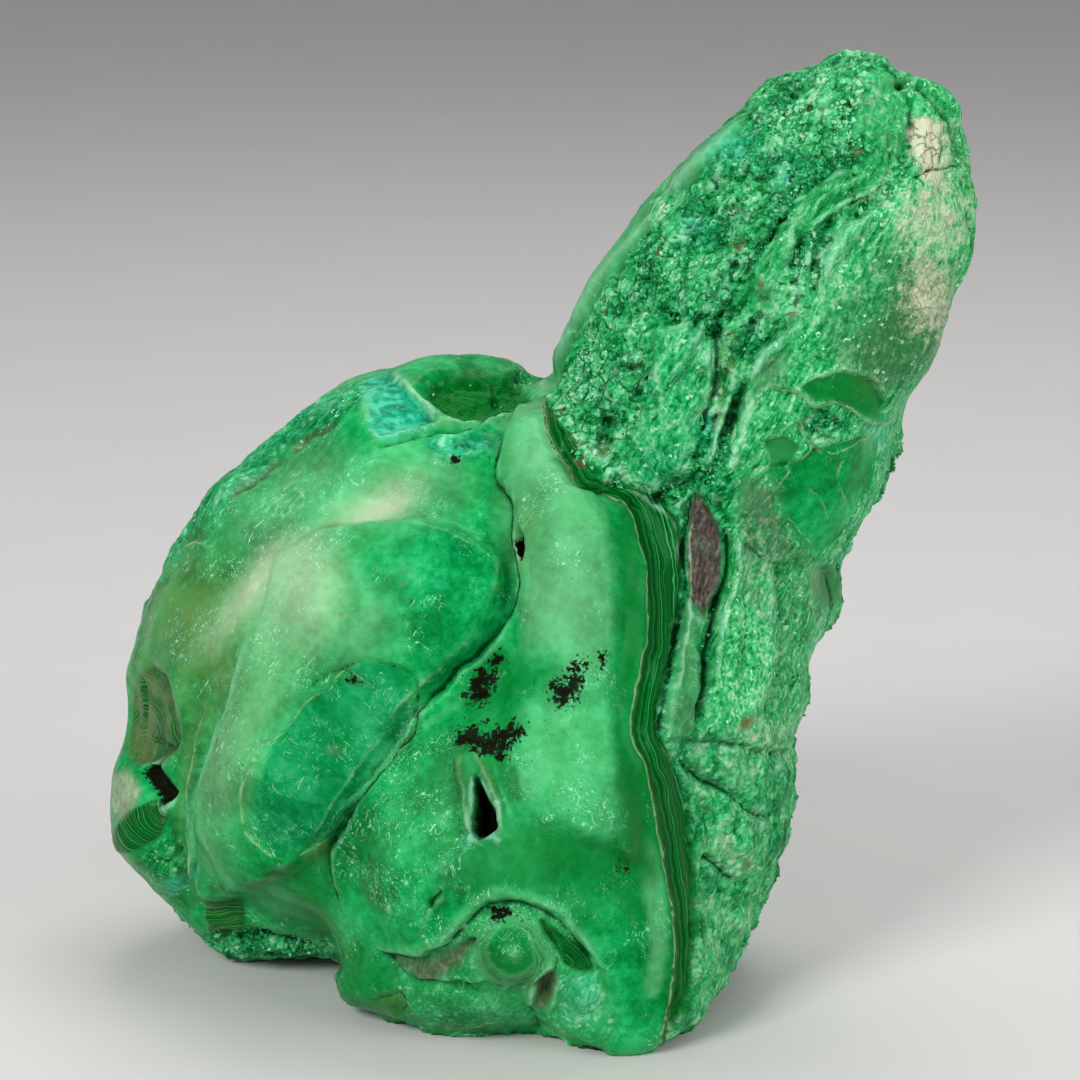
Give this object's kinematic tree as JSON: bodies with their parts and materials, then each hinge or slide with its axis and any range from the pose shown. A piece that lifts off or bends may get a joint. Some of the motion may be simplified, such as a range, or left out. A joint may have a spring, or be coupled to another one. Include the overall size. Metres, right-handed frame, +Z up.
{
  "type": "malachite specimen",
  "caption": "Natural lump of green malachite with smooth rounded crusts in front, a broken banded edge, rough matrix and a leaning horn; it stands on its worn foot.",
  "frame": {"origin": "on the ground under the middle of the lump's bounding box", "axes": "+Z up along the longest extent, the smooth crust faces -Y, the horn leans towards +X"},
  "size_m": [0.133, 0.0886, 0.1458],
  "materials": {
    "malachite": "satin green crust with darker bands, pale weathered films and rough sparkling broken faces"
  },
  "bodies": {
    "root": {"malachite_lump": "malachite"}
  },
  "joints": []
}
